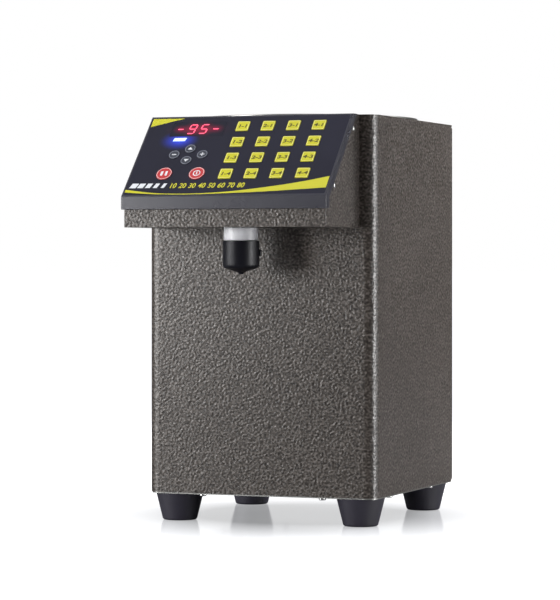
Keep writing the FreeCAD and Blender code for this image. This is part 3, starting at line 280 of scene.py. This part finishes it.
# Finishes

def moulded(name, color, roughness, grain=900.0, change=0.12, relief=0.02 * mm, **settings):
    """Plastic or rubber: fine grain in its tone and surface, and slow drifts of tone and gloss."""
    drift_scale = 22.0
    finish = Finish(name, color, roughness, **settings)
    fine = finish.noise(grain, 3.0)
    slow = finish.noise(drift_scale)
    tone = finish.math("MULTIPLY_ADD", fine, 0.5, finish.math("MULTIPLY", slow, 0.5))
    finish.shade(tone, color, (0.25, 1 - change), (0.75, 1 + change))
    finish.drive("Roughness", finish.remap(slow, 0.2, 0.8, roughness * 0.94, roughness * 1.06))
    finish.bump(fine, relief)
    return finish.look


def key_rubber(name, color, roughness, change, **settings):
    return moulded(name, color, roughness, grain=1200.0, change=change, relief=0.01 * mm, **settings)


def printed(name, color, roughness, change, **settings):
    return moulded(name, color, roughness, grain=1200.0, change=change, relief=0.005 * mm, **settings)


def hammertone():
    """Enamel with short worm-like veins over a dark ground, and a fine relief."""
    worm_scale = 250.0
    worm_frequency = 0.95
    worm_shift = 0.71       # between the two waves that add up to the worms
    dot_scale = 900.0
    drift_scale = 9.0
    relief_scale = 350.0
    relief_turn = (0.7, 0.5, 0.4)
    relief = 0.42 * mm
    finish = Finish("hammertone_paint", (0.05, 0.045, 0.04), 0.36, Specular_IOR_Level=0.45)
    waves = []
    for shift in (0.0, worm_shift):
        moved = finish.vector("ADD", finish.place, (shift, shift, shift))[0]
        values = {"Vector": moved, "Scale": worm_scale, "Frequency": worm_frequency, "Anisotropy": 0.0}
        waves.append(finish.add("ShaderNodeTexGabor", values, gabor_type="3D").outputs["Value"])
    worms = finish.remap(finish.math("ADD", *waves), 0.72, 1.28)
    dots = finish.noise(dot_scale, 1.0)
    drift = finish.noise(drift_scale)
    veins = finish.math("MULTIPLY_ADD", dots, 0.15, finish.math("MULTIPLY", worms, 0.85))
    tone = finish.math("MULTIPLY_ADD", drift, 0.2, finish.math("SUBTRACT", veins, 0.1))
    color = finish.ramp(tone, [(0.1, paint_ground), (0.5, paint_middle), (0.9, paint_vein)])
    finish.drive("Base Color", color)
    finish.drive("Roughness", finish.remap(dots, 0.3, 0.7, 0.30, 0.40))
    turned = finish.add("ShaderNodeMapping", {"Vector": finish.place, "Rotation": relief_turn}).outputs[0]
    finish.bump(finish.noise(relief_scale, 0.0, turned), relief)
    return finish.look


def brushed(name, color, roughness, ring_centre=None):
    """Steel with fine lines: rings round a centre, or straight lines across."""
    line_scale = 2600.0
    line_squeeze = 0.03     # share of the scale that is kept along the straight lines
    drift_scale = 14.0
    finish = Finish(name, color, roughness, Metallic=1.0)
    x, y, z = finish.add("ShaderNodeSeparateXYZ", {0: finish.place}).outputs
    if ring_centre:
        off = finish.vector("SUBTRACT", finish.place, (ring_centre.x, ring_centre.y, 0))[0]
        flat = finish.vector("MULTIPLY", off, (1, 1, 0))[0]
        values = {0: finish.vector("LENGTH", flat)["Value"], 1: z}
    else:
        values = {0: finish.math("MULTIPLY", x, line_squeeze), 1: y, 2: z}
    lines = finish.noise(line_scale, 2.0, finish.add("ShaderNodeCombineXYZ", values).outputs[0])
    slow = finish.noise(drift_scale)
    finish.shade(lines, color, (0.3, 0.86), (0.7, 1.08))
    gloss = finish.remap(lines, 0.3, 0.7, roughness * 0.75, roughness * 1.05)
    finish.drive("Roughness", finish.math("MULTIPLY_ADD", slow, 0.12, gloss))
    finish.bump(lines, 0.015 * mm)
    return finish.look


def lit(name, color, glow_with_painted_shadow):
    finish = Finish(name, shades(color, 0.4), 0.4, Emission_Strength=glow_with_painted_shadow)
    finish.shade(finish.noise(400.0, 1.0), color, (0.2, 0.93), (0.8, 1.0), socket="Emission Color")
    return finish.look


# Mesh building

def plate(mesh, corners):
    """Closed plate of ink on a flat outline."""
    bottom = [mesh.verts.new((x, y, 0)) for x, y in corners]
    top = [mesh.verts.new((x, y, ink)) for x, y in corners]
    mesh.faces.new(reversed(bottom))
    mesh.faces.new(top)
    for index in range(len(corners)):
        after = (index + 1) % len(corners)
        mesh.faces.new((bottom[index], bottom[after], top[after], top[index]))


def frame_plate(mesh, outer, inner):
    """Closed frame of ink between two outlines with as many corners each."""
    rings = [[mesh.verts.new((x, y, z)) for x, y in corners]
             for corners, z in ((outer, 0), (outer, ink), (inner, ink), (inner, 0))]
    for index in range(len(outer)):
        after = (index + 1) % len(outer)
        for ring, following in zip(rings, rings[1:] + rings[:1]):
            mesh.faces.new((ring[index], ring[after], following[after], following[index]))


def circle(radius, steps=40):
    turns = [2 * math.pi * step / steps for step in range(steps)]
    return [(radius * math.cos(turn), radius * math.sin(turn)) for turn in turns]


def rounded(half, radius, steps=5):
    """Square with rounded corners, given by half its width."""
    corners = []
    for quarter, (side_x, side_y) in enumerate(((1, 1), (-1, 1), (-1, -1), (1, -1))):
        for step in range(steps):
            turn = math.pi / 2 * (quarter + step / (steps - 1))
            corners.append((side_x * (half - radius) + radius * math.cos(turn),
                            side_y * (half - radius) + radius * math.sin(turn)))
    return corners


def slanted(points, slant):
    return [(x + slant * y, y) for x, y in points]


def bar(mesh, width, height, x=0.0, y=0.0, slant=0.0):
    half_x, half_y = width / 2, height / 2
    corners = [(-half_x, -half_y), (half_x, -half_y), (half_x, half_y), (-half_x, half_y)]
    plate(mesh, [(x + a, y + b) for a, b in slanted(corners, slant)])


def lettering(mesh, words, height, slant, stretch, weight, x=0.0, y=0.0):
    """Adds raised text, centred on x and y, whose capitals have the given height."""
    capital_share = 0.72
    merge = 0.002 * mm
    curve = bpy.data.curves.new("words", "FONT")
    curve.body = words
    curve.size = height / capital_share
    curve.align_x = "CENTER"
    curve.shear = slant
    curve.extrude = ink / 2
    curve.offset = height * weight
    curve.resolution_u = 4
    holder = bpy.data.objects.new("words", curve)
    scene.collection.objects.link(holder)
    letters = bpy.data.meshes.new_from_object(holder)
    bpy.data.objects.remove(holder)
    letters.transform(Matrix.Translation((x, y - height / 2, ink / 2)) @ Matrix.Diagonal((stretch, 1, 1, 1)))
    mesh.from_mesh(letters)
    bpy.data.meshes.remove(letters)
    bmesh.ops.remove_doubles(mesh, verts=mesh.verts, dist=merge)
    bmesh.ops.dissolve_degenerate(mesh, edges=mesh.edges, dist=merge)
    bmesh.ops.delete(mesh, geom=[vertex for vertex in mesh.verts if not vertex.link_faces], context="VERTS")


def piece(name, mesh, place, look, body):
    """Turns built mesh into a piece that rides on a body."""
    bmesh.ops.recalc_face_normals(mesh, faces=mesh.faces)
    data = bpy.data.meshes.new(name)
    mesh.to_mesh(data)
    mesh.free()
    data.transform(place)
    data.materials.append(look)
    made = bpy.data.objects.new(name, data)
    scene.collection.objects.link(made)
    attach(made, body)


def extent(node, axis):
    """How far a node reaches along an axis, from and to."""
    reach = [vertex.co.dot(axis) for vertex in frame["nodes"][node].data.vertices]
    return min(reach), max(reach)


def console_top():
    """How far downhill the console's top edge lies."""
    return extent("keypad_overlay", downhill)[0] - overlay_edge


def console_place(node, x=0.0, s=0.0):
    """Console's own frame on a node's face: x across, y up the slope and z out of it, moved to x and s."""
    origin = downhill * console_top() + outward * extent(node, outward)[1]
    slope = Matrix.Translation(origin) @ Matrix((across, -downhill, outward)).transposed().to_4x4()
    return slope @ Matrix.Translation((x, -s, 0))


def key_place(node):
    """Console's own frame, moved to the middle of a key's face."""
    return console_place(node, sum(extent(node, across)) / 2, sum(extent(node, downhill)) / 2 - console_top())


# Console prints

def dose_key_prints(look_text, look_rim):
    """Legend and border on each square key, named by its column and row."""
    for column in range(1, 5):
        for row in range(1, 5):
            node = "dose_key_%d_%d" % (column, row)
            place = key_place(node)
            legend = bmesh.new()
            lettering(legend, "%d-%d" % (column, row), legend_height, legend_slant, legend_stretch,
                      legend_weight)
            piece("legend_%d_%d" % (column, row), legend, place, look_text, node + "_body")
            rim = bmesh.new()
            frame_plate(rim, rounded(rim_half, rim_radius), rounded(rim_hole_half, rim_hole_radius))
            piece("rim_%d_%d" % (column, row), rim, place, look_rim, node + "_body")


def arrow(mesh, side):
    """Triangle that points up for side 1, and down for side -1."""
    corners = [(-arrow_half, -side * arrow_foot), (0, side * arrow_tip), (arrow_half, -side * arrow_foot)]
    plate(mesh, corners[::side])


def minus(mesh):
    bar(mesh, sign_length, sign_thick)


def plus(mesh):
    minus(mesh)
    offset = sign_thick / 2 + plus_gap + plus_arm / 2
    for side in (1, -1):
        bar(mesh, sign_thick, plus_arm, 0, side * offset)


def pause(mesh):
    for side in (-1, 1):
        bar(mesh, pause_width, pause_height, side * pause_offset)


def power(mesh):
    frame_plate(mesh, circle(power_radius), circle(power_hole))
    bar(mesh, power_bar_width, power_bar_height)


def round_key_prints(look_mark, look_ring, look_red_ring):
    """Mark and ring on each menu key and red key."""
    marks = {"menu_key_up": lambda mesh: arrow(mesh, 1), "menu_key_down": lambda mesh: arrow(mesh, -1),
             "menu_key_left": minus, "menu_key_right": plus, "red_key_left": pause, "red_key_right": power}
    for node, draw in marks.items():
        place = key_place(node)
        left, right = extent(node, across)
        radius = (right - left) / 2 - ring_inset
        red = node.startswith("red")
        mark = bmesh.new()
        draw(mark)
        piece(node + "_mark", mark, place, look_mark, node + "_body")
        ring = bmesh.new()
        frame_plate(ring, circle(radius), circle(radius - ring_width))
        piece(node + "_ring", ring, place, look_red_ring if red else look_ring, node + "_body")


def curve_through(points, steps=9):
    """Smooth line through a few points (Catmull-Rom)."""
    ends = [points[0]] + points + [points[-1]]
    line = []
    for before, start, end, after in zip(ends, ends[1:], ends[2:], ends[3:]):
        for step in range(steps):
            t = step / steps
            line.append(tuple(0.5 * (2 * b + (c - a) * t + (2 * a - 5 * b + 4 * c - d) * t ** 2
                                     + (3 * b - a - 3 * c + d) * t ** 3)
                              for a, b, c, d in zip(before, start, end, after)))
    return line + [points[-1]]


def stripe(name, curves, place, look):
    """Closed stripe of ink between two curves."""
    edges = [[(x * mm, -s * mm) for x, s in curve_through(points)] for points in curves]
    mesh = bmesh.new()
    rows = [[mesh.verts.new((x, y, z)) for x, y in edge] for z in (0, ink) for edge in edges]
    count = len(edges[0])
    order = (0, 1, 3, 2)
    for index in range(count - 1):
        for first, second in zip(order, order[1:] + order[:1]):
            mesh.faces.new((rows[first][index], rows[second][index], rows[second][index + 1],
                            rows[first][index + 1]))
    for index in (0, count - 1):
        mesh.faces.new([rows[row][index] for row in order])
    piece(name, mesh, place, look, "cabinet")


def overlay_prints(look_yellow, look_white, look_lamp):
    """Stripes, numbers, slanted bars and the level lamp on the overlay."""
    place = console_place("keypad_overlay")
    stripe("stripe_foot", foot_stripe, place, look_yellow)
    stripe("stripe_top", top_stripe, place, look_yellow)
    numbers = bmesh.new()
    for index in range(number_count):
        words = "%d" % (number_step * (index + 1))
        lettering(numbers, words, number_height, number_slant, number_stretch, number_weight,
                  number_x + number_pitch * index, -row_s)
    piece("scale_numbers", numbers, place, look_yellow, "cabinet")
    strokes = bmesh.new()
    for index in range(stroke_count):
        width = stroke_width - stroke_loss * index
        bar(strokes, width, stroke_height, stroke_x + stroke_pitch * index, -row_s, stroke_slant)
    piece("slanted_bars", strokes, place, look_white, "cabinet")
    lamp = bmesh.new()
    bar(lamp, lamp_width, lamp_height, lamp_x, -lamp_s, lamp_slant)
    piece("level_lamp", lamp, place, look_lamp, "cabinet")


def digit_bar(length):
    """Outline of one bar of a digit, pointed at both ends, along x."""
    reach = length / 2 - digit_gap
    half = digit_thick / 2
    return [(-reach, 0), (half - reach, -half), (reach - half, -half), (reach, 0), (reach - half, half),
            (half - reach, half)]


def display_digits(look):
    """The lit bars of four slanted digits of seven bars each."""
    mesh = bmesh.new()
    for digit, on in enumerate(digits_shown):
        middle = digit_x + digit_pitch * digit
        for side, level, upright in [digit_bars[key] for key in on]:
            shape = digit_bar(digit_height / 2 if upright else digit_width)
            if upright:
                shape = [(-y, x) for x, y in shape]
            spot = [(x + side * digit_width, y + level * digit_height / 2) for x, y in shape]
            plate(mesh, [(middle + x, y - digit_s) for x, y in slanted(spot, digit_slant)])
    piece("digits", mesh, console_place("display_window"), look, "cabinet")


def rocker_marks(look):
    """Bar and ring on the two wings of the power switch."""
    low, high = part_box("power_rocker")
    pivot = Vector(joints["rocker_tip"]["pos_m"])
    lean = Matrix.Translation(pivot) @ Matrix.Rotation(rocker_lean, 4, "Z")
    face = Matrix(((-1, 0, 0), (0, 0, 1), (0, 1, 0))).to_4x4()
    on_mark = bmesh.new()
    bar(on_mark, on_mark_width, on_mark_height)
    off_mark = bmesh.new()
    frame_plate(off_mark, circle(off_mark_radius, off_mark_steps), circle(off_mark_hole, off_mark_steps))
    for name, mesh, side in (("on_mark", on_mark, -1), ("off_mark", off_mark, 1)):
        spot = Matrix.Translation((side * wing_mark_reach, wing_mark_rise, (low.z + high.z) / 2 - pivot.z))
        slope = Matrix.Rotation(side * wing_slope, 4, "Z")
        piece(name, mesh, lean @ spot @ slope @ face, look, "rocker")


# Finishes of the CAD nodes

def glow(finish, centre, reach, glow_with_painted_shadow):
    """Amount of light that spills over the panel round a lamp, most at its middle."""
    place = console_place("keypad_overlay", centre[0] * mm, centre[1] * mm)
    values = {"Vector": finish.place, "Location": place.to_translation(), "Rotation": place.to_euler(),
              "Scale": (reach[0] * mm, reach[1] * mm, glow_depth)}
    local = finish.add("ShaderNodeMapping", values, vector_type="TEXTURE").outputs[0]
    near = finish.add("ShaderNodeTexGradient", {0: local}, gradient_type="QUADRATIC_SPHERE").outputs["Fac"]
    return finish.math("MINIMUM", finish.math("MULTIPLY", near, glow_with_painted_shadow), 1.0)


def add_glows(finish, glows):
    total = (0, 0, 0)
    for centre, reach, color, glow_with_painted_shadow in glows:
        tinted = finish.blend(glow(finish, centre, reach, glow_with_painted_shadow), (0, 0, 0), color)
        total = finish.blend(1.0, total, tinted, blend_type="ADD")
    finish.drive("Emission Color", total)
    finish.drive("Emission Strength", 1.0)


def panel_film():
    finish = Finish("panel_film", film_color, 0.34, Specular_IOR_Level=0.3)
    fine = finish.noise(1500.0)
    finish.shade(finish.noise(12.0), film_color, (0.3, 0.9), (0.7, 1.15))
    finish.drive("Roughness", finish.remap(fine, 0.3, 0.7, 0.28, 0.4))
    finish.bump(fine, 0.01 * mm)
    add_glows(finish, panel_glows)
    return finish.look


def display_glass():
    finish = Finish("display_glass", film_color, 0.3, Specular_IOR_Level=0.3)
    slow = finish.noise(30.0)
    finish.shade(slow, film_color, (0.3, 0.8), (0.7, 1.0))
    finish.drive("Roughness", finish.remap(slow, 0.3, 0.7, 0.26, 0.34))
    add_glows(finish, window_glows)
    return finish.look


def circuit_board():
    finish = Finish("circuit_board", (0.01, 0.12, 0.04), 0.35)
    values = {"Vector": finish.place, "Scale": 120.0, "Mortar Size": 0.03}
    tracks = finish.add("ShaderNodeTexBrick", values, offset=0.3).outputs["Fac"]
    finish.drive("Base Color", finish.blend(tracks, (0.008, 0.10, 0.035), (0.03, 0.22, 0.08)))
    finish.bump(tracks, 0.05 * mm)
    return finish.look


def metals():
    """Painted and bare metal, by material slot."""
    lid_low, lid_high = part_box("tank_lid")
    lid_centre = (lid_low + lid_high) / 2
    paint = hammertone()
    return {
        "hammertone": paint,
        "rear_sheet": paint,
        "bright_steel": brushed("plated_steel", (0.60, 0.60, 0.58), 0.34),
        "zinc_sheet": brushed("zinc_sheet", (0.26, 0.26, 0.25), 0.5),
        "bright_screw": brushed("screw_plating", (0.80, 0.80, 0.79), 0.22),
        "tank_steel": brushed("tank_steel", (0.60, 0.60, 0.58), 0.3, lid_centre),
        "lid_steel": brushed("lid_steel", (0.58, 0.58, 0.56), 0.32, lid_centre),
        "pump_alloy": brushed("pump_alloy", (0.62, 0.63, 0.64), 0.38),
        "motor_can": brushed("motor_can", (0.30, 0.31, 0.32), 0.4),
        "contact_brass": brushed("contact_brass", (0.72, 0.56, 0.28), 0.3),
    }


def plastics():
    """Plastic, rubber and the parts of the display, by material slot."""
    translucent = {"Subsurface_Weight": 0.7, "Subsurface_Radius": (1, 1, 1), "Subsurface_Scale": 12 * mm}
    return {
        "foot_rubber": moulded("foot_rubber", (0.033, 0.030, 0.046), 0.52, change=0.18),
        "charcoal_plastic": moulded("charcoal_plastic", (0.040, 0.040, 0.053), 0.28, grain=1400.0,
                                    change=0.08),
        "panel_film": panel_film(),
        "window_plastic": display_glass(),
        "display_parts": moulded("display_block", (0.012, 0.011, 0.012), 0.5),
        "circuit_board": circuit_board(),
        "black_plastic": moulded("black_plastic", (0.016, 0.016, 0.017), 0.45),
        "white_plastic": moulded("white_plastic", (0.88, 0.88, 0.94), 0.38, change=0.02, **translucent),
        "seal_rubber": moulded("seal_rubber", (0.02, 0.01, 0.01), 0.5),
        "nozzle_black": moulded("nozzle_black", (0.007, 0.007, 0.011), 0.42, grain=500.0, change=0.15,
                                relief=0.01 * mm, Specular_IOR_Level=0.2),
        "clear_hose": moulded("silicone_hose", (0.62, 0.60, 0.50), 0.4, change=0.05, Subsurface_Weight=0.15),
        "rocker_plastic": moulded("rocker_plastic", (0.24, 0.012, 0.012), 0.28, Coat_Weight=0.3),
        "key_yellow": key_rubber("key_yellow", yellow, 0.46, 0.05, Specular_IOR_Level=0.35),
        "key_grey": key_rubber("key_grey", (0.040, 0.044, 0.060), 0.45, 0.1),
        "key_red": key_rubber("key_red", (0.50, 0.035, 0.040), 0.42, 0.08),
    }


def dress_nodes():
    """Gives every CAD node its finish, by the record's material slots."""
    looks = {**metals(), **plastics()}
    slots = {entry["node"]: entry["material_slot"] for entry in frame["record"]["subparts"]}
    for name, node in frame["nodes"].items():
        for holder in node.material_slots:
            holder.material = looks[slots[name]]


# Studio

def surroundings():
    """White to the camera and dim as a lamp; gloss sees a dark horizon under a lighter ceiling."""
    horizon = (0.02, 0.02, 0.022)
    ceiling = (0.34, 0.34, 0.35)
    world = bpy.data.worlds.new("studio")
    scene.world = world
    world.use_nodes = True
    sky = Nodes(world.node_tree)
    toward = sky.add("ShaderNodeTexCoord").outputs["Generated"]
    rise = sky.remap(sky.add("ShaderNodeSeparateXYZ", {0: toward}).outputs["Z"], 0.12, 0.45)
    ray = sky.add("ShaderNodeLightPath").outputs
    mirrored = sky.blend(rise, horizon, ceiling)
    indirect = sky.blend(ray["Is Glossy Ray"], horizon, mirrored)
    shade = sky.blend(ray["Is Camera Ray"], indirect, (1, 1, 1))
    sky.feed(sky.tree.nodes["Background"].inputs["Color"], shade)


def studio_floor():
    """Wide pale floor that glows to the camera, so its real shadows stay light, and fades to white; weaker glow
    near the machine paints a shadow round it.
    """
    floor_radius = 60.0
    floor_gap = 0.05 * mm   # under the feet
    # The floor glows less near the machine than further out, a painted shadow that fades out between these
    # distances
    painted_shadow_inner = 0.12       # distances from the machine's middle
    painted_shadow_outer = 0.31
    painted_shadow_glow = 0.31
    open_floor_glow = 1.06
    mesh = bmesh.new()
    bmesh.ops.create_circle(mesh, cap_ends=True, segments=96, radius=floor_radius)
    data = bpy.data.meshes.new("floor")
    mesh.to_mesh(data)
    mesh.free()
    finish = Finish("floor", (0.22, 0.22, 0.23), 0.1)
    finish.drive("Emission Color", (0.97, 0.98, 1.0, 1))
    tone = finish.noise(0.6)
    finish.drive("Base Color", finish.ramp(tone, [(0.3, (0.21, 0.21, 0.22)), (0.7, (0.23, 0.23, 0.24))]))
    low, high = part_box("base_plate")
    middle = ((low.x + high.x) / 2, (low.y + high.y) / 2, 0)
    far = finish.vector("DISTANCE", finish.place, middle)["Value"]
    # Painted shadow: the camera sees less glow close to the machine, rising to white further out
    glow_with_painted_shadow = finish.remap(far, painted_shadow_inner, painted_shadow_outer, painted_shadow_glow, open_floor_glow)
    seen = finish.add("ShaderNodeLightPath").outputs["Is Camera Ray"]
    finish.drive("Emission Strength", finish.math("MULTIPLY", glow_with_painted_shadow, seen))
    data.materials.append(finish.look)
    floor = bpy.data.objects.new("floor", data)
    scene.collection.objects.link(floor)
    floor.location.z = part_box("rubber_feet")[0].z - floor_gap


def soft_light(name, azimuth, elevation, distance, width, height, watts, use):
    """Rectangular lamp aimed at the machine, for fill, sheen or both.

    Azimuth 0 is in front of the machine, and 90 on its right.
    """
    lamp = bpy.data.lights.new(name, "AREA")
    lamp.shape = "RECTANGLE"
    lamp.size = width
    lamp.size_y = height
    lamp.energy = watts
    turn = math.radians(azimuth)
    lift = math.radians(elevation)
    away = Vector((math.sin(turn) * math.cos(lift), -math.cos(turn) * math.cos(lift), math.sin(lift)))
    holder = bpy.data.objects.new(name, lamp)
    holder.location = (cad_low + cad_high) / 2 + away * distance
    holder.rotation_mode = "QUATERNION"
    holder.rotation_quaternion = away.to_track_quat("Z", "Y")
    holder.visible_glossy = use != "fill"
    holder.visible_diffuse = use != "sheen"
    scene.collection.objects.link(holder)


def studio():
    """Sky, floor and lamps. Fill lamps leave no reflection, and sheen lamps leave nothing else."""
    scene.view_settings.view_transform = "Standard"
    surroundings()
    studio_floor()
    # name, azimuth, elevation, distance, width, height, watts, use
    soft_light("left_light", -75, 10, 1.9, 1.8, 1.5, 17, "fill")
    soft_light("key_light", -28, 5, 1.9, 0.4, 0.5, 19, "fill")
    soft_light("top_light", 0, 84, 2.2, 2.0, 2.0, 46, "fill")
    soft_light("right_light", 150, 15, 1.6, 0.8, 1.0, 40, "fill")
    soft_light("sheen_light", -37, 6, 1.9, 0.5, 0.5, 14, "sheen")
    soft_light("side_sheen", -56, 6, 1.9, 0.6, 0.6, 16, "sheen")
    soft_light("right_fill", 78, 9, 1.9, 0.5, 0.5, 6, "fill")
    soft_light("corner_light", 84, 4, 1.7, 0.3, 0.8, 27, "sheen")
    soft_light("edge_light", 108, 4, 1.7, 0.5, 2.0, 14, "sheen")
    soft_light("rear_light", 200, 25, 2.4, 1.2, 1.2, 10, "both")
    soft_light("backdrop", 201, 0, 2.5, 1.6, 0.36, 1.0, "sheen")


camera()
dress_nodes()
print_white = printed("print_white", pale, 0.4, 0.04)
dose_key_prints(printed("print_olive", olive, 0.5, 0.1),
                printed("print_key_rim", (0.93, 0.88, 0.34), 0.45, 0.04))
round_key_prints(print_white, printed("print_ring_grey", (0.16, 0.17, 0.21), 0.45, 0.1),
                 printed("print_ring_red", (0.75, 0.42, 0.42), 0.45, 0.06))
overlay_prints(printed("print_yellow", yellow, 0.4, 0.05, Specular_IOR_Level=0.4), print_white,
               lit("lamp_blue", (0.50, 0.68, 1.0), 1.7))
display_digits(lit("digit_red", (1.0, 0.09, 0.17), 1.8))
rocker_marks(print_white)
studio()
